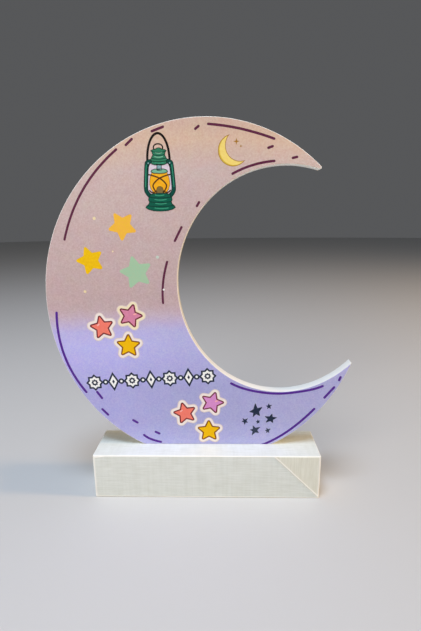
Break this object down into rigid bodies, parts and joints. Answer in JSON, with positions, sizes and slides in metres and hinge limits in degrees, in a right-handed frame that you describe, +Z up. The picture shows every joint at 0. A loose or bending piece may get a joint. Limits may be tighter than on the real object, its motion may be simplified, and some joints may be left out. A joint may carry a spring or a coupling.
{
  "type": "crescent table decoration",
  "caption": "Printed wooden crescent moon board standing upright on a tab in the slot of a film-wrapped rectangular block.",
  "frame": {"origin": "centre of the block's underside, on the surface that the decoration stands on", "axes": "+Z up, +X to the right along the block as seen from the printed face, +Y towards the plain back of the board"},
  "size_m": [0.2617, 0.045, 0.3187],
  "materials": {
    "block_wood": "bare sawn softwood",
    "grain_film": "white embossed wood-grain film, satin",
    "painted_board": "fibreboard, white paint, satin",
    "printed_face": "matt laminated colour print"
  },
  "bodies": {
    "stand": {"base_block": "block_wood", "base_wrap": "grain_film"},
    "crescent": {"crescent_board": "painted_board", "crescent_print": "printed_face"}
  },
  "joints": [
    {"name": "crescent_lift", "type": "slide", "parent": "stand", "child": "crescent", "axis": [0, 0, 1], "range_m": [0, 0.05]}
  ]
}
